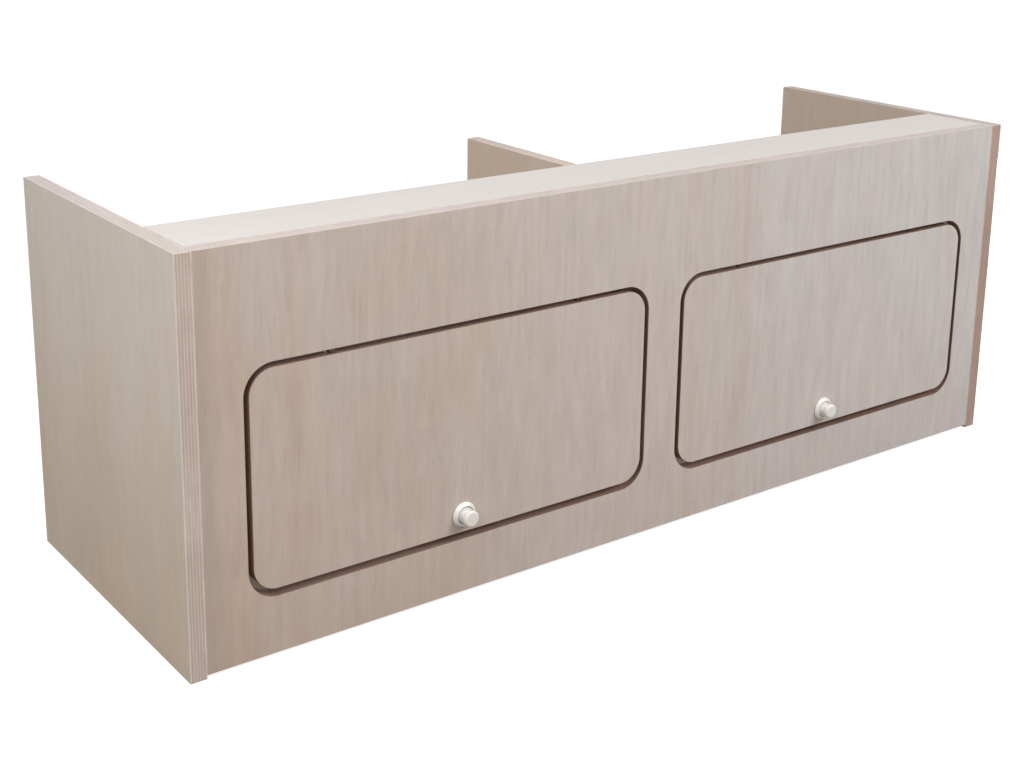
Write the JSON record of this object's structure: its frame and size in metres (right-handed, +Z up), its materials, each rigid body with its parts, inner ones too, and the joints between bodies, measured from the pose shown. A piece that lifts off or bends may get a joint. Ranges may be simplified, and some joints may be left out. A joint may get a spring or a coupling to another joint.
{
  "type": "campervan overhead cabinet",
  "caption": "Wide shallow overhead cabinet of whitewashed plywood, open at the back, with flush top-hinged flap doors with rounded corners and white push-button locks.",
  "frame": {"origin": "middle of the bottom of the bounding box, on the plane of the side panels' bottom edges", "axes": "+X along the cabinet's length to the right as seen from the front, +Y from the front to the open back, +Z up"},
  "size_m": [1, 0.334, 0.36],
  "materials": {
    "front_ply": "whitewashed plywood, satin, fine upright grain",
    "side_ply": "whitewashed plywood, satin",
    "top_ply": "whitewashed plywood, satin",
    "inner_ply": "whitewashed plywood, unpolished",
    "tongue_birch": "bare birch plywood",
    "white_plastic": "semi-gloss moulded plastic",
    "grey_plastic": "matt moulded plastic",
    "bright_steel": "zinc-plated steel",
    "dark_steel": "blackened steel",
    "brass": "plain machined brass"
  },
  "bodies": {
    "carcass": {"centre_divider": "inner_ply", "floor_board": "inner_ply", "front_panel": "front_ply", "front_to_floor_tongue": "tongue_birch", "front_to_strip_tongue": "tongue_birch", "left_front_end_tongue": "tongue_birch", "left_inner_hinge_upper_barrel": "brass", "left_outer_hinge_upper_barrel": "brass", "left_side_panel": "side_ply", "left_stay_divider_bracket": "dark_steel", "left_stay_divider_lower_screw": "dark_steel", "left_stay_divider_upper_screw": "dark_steel", "left_strike_left_screw": "bright_steel", "left_strike_plate": "bright_steel", "left_strike_right_screw": "bright_steel", "left_strip_end_tongue": "tongue_birch", "right_front_end_tongue": "tongue_birch", "right_inner_hinge_upper_barrel": "brass", "right_outer_hinge_upper_barrel": "brass", "right_side_panel": "side_ply", "right_stay_divider_bracket": "dark_steel", "right_stay_divider_lower_screw": "dark_steel", "right_stay_divider_upper_screw": "dark_steel", "right_strike_left_screw": "bright_steel", "right_strike_plate": "bright_steel", "right_strike_right_screw": "bright_steel", "right_strip_end_tongue": "tongue_birch", "top_strip": "top_ply"},
    "left_door": {"left_door_panel": "front_ply", "left_inner_hinge_lower_barrel": "brass", "left_lock_case": "grey_plastic", "left_lock_case_left_screw": "bright_steel", "left_lock_case_right_screw": "bright_steel", "left_lock_rosette": "white_plastic", "left_outer_hinge_lower_barrel": "brass", "left_stay_door_bracket": "dark_steel", "left_stay_door_lower_screw": "dark_steel", "left_stay_door_upper_screw": "dark_steel"},
    "left_hinge_links": {"left_inner_hinge_link": "dark_steel", "left_outer_hinge_link": "dark_steel"},
    "left_lock_button": {"left_lock_button": "white_plastic"},
    "left_lock_bolt": {"left_lock_bolt": "bright_steel"},
    "left_stay_tube": {"left_stay_tube": "grey_plastic"},
    "left_stay_rod": {"left_stay_rod": "bright_steel"},
    "right_door": {"right_door_panel": "front_ply", "right_inner_hinge_lower_barrel": "brass", "right_lock_case": "grey_plastic", "right_lock_case_left_screw": "bright_steel", "right_lock_case_right_screw": "bright_steel", "right_lock_rosette": "white_plastic", "right_outer_hinge_lower_barrel": "brass", "right_stay_door_bracket": "dark_steel", "right_stay_door_lower_screw": "dark_steel", "right_stay_door_upper_screw": "dark_steel"},
    "right_hinge_links": {"right_inner_hinge_link": "dark_steel", "right_outer_hinge_link": "dark_steel"},
    "right_lock_button": {"right_lock_button": "white_plastic"},
    "right_lock_bolt": {"right_lock_bolt": "bright_steel"},
    "right_stay_tube": {"right_stay_tube": "grey_plastic"},
    "right_stay_rod": {"right_stay_rod": "bright_steel"}
  },
  "joints": [
    {"name": "left_door_hinge", "type": "hinge", "parent": "carcass", "child": "left_door", "pos_m": [-0.233, -0.153, 0.2569], "axis": [-1, 0, 0], "range_deg": [0, 90]},
    {"name": "left_hinge_link_turn", "type": "hinge", "parent": "carcass", "child": "left_hinge_links", "pos_m": [-0.233, -0.153, 0.2569], "axis": [-1, 0, 0], "range_deg": [0, 45]},
    {"name": "left_stay_tube_turn", "type": "hinge", "parent": "carcass", "child": "left_stay_tube", "pos_m": [-0.042, -0.113, 0.2349], "axis": [-1, 0, 0], "range_deg": [0, 82.79]},
    {"name": "left_stay_rod_slide", "type": "slide", "parent": "left_stay_tube", "child": "left_stay_rod", "axis": [0, -0.0555, -0.9985], "range_m": [0, 0.0624]},
    {"name": "left_lock_button_press", "type": "slide", "parent": "left_door", "child": "left_lock_button", "axis": [0, 1, 0], "range_m": [0, 0.01], "stiffness_N_per_m": 200, "springref_m": -0.005},
    {"name": "left_lock_bolt_throw", "type": "slide", "parent": "left_door", "child": "left_lock_bolt", "axis": [0, 0, -1], "range_m": [0, 0.01]},
    {"name": "right_door_hinge", "type": "hinge", "parent": "carcass", "child": "right_door", "pos_m": [0.233, -0.153, 0.2569], "axis": [-1, 0, 0], "range_deg": [0, 90]},
    {"name": "right_hinge_link_turn", "type": "hinge", "parent": "carcass", "child": "right_hinge_links", "pos_m": [0.233, -0.153, 0.2569], "axis": [-1, 0, 0], "range_deg": [0, 45]},
    {"name": "right_stay_tube_turn", "type": "hinge", "parent": "carcass", "child": "right_stay_tube", "pos_m": [0.042, -0.113, 0.2349], "axis": [-1, 0, 0], "range_deg": [0, 82.79]},
    {"name": "right_stay_rod_slide", "type": "slide", "parent": "right_stay_tube", "child": "right_stay_rod", "axis": [0, -0.0555, -0.9985], "range_m": [0, 0.0624]},
    {"name": "right_lock_button_press", "type": "slide", "parent": "right_door", "child": "right_lock_button", "axis": [0, 1, 0], "range_m": [0, 0.01], "stiffness_N_per_m": 200, "springref_m": -0.005},
    {"name": "right_lock_bolt_throw", "type": "slide", "parent": "right_door", "child": "right_lock_bolt", "axis": [0, 0, -1], "range_m": [0, 0.01]}
  ],
  "couplings": [
    {"joint": "left_hinge_link_turn", "follows": "left_door_hinge", "ratio": 0.5},
    {"joint": "left_stay_tube_turn", "follows": "left_door_hinge", "ratio": 0.9198},
    {"joint": "left_stay_rod_slide", "follows": "left_door_hinge", "m_per_rad": 0.039634},
    {"joint": "left_lock_bolt_throw", "follows": "left_lock_button_press", "ratio": 1},
    {"joint": "right_hinge_link_turn", "follows": "right_door_hinge", "ratio": 0.5},
    {"joint": "right_stay_tube_turn", "follows": "right_door_hinge", "ratio": 0.9198},
    {"joint": "right_stay_rod_slide", "follows": "right_door_hinge", "m_per_rad": 0.039634},
    {"joint": "right_lock_bolt_throw", "follows": "right_lock_button_press", "ratio": 1}
  ]
}
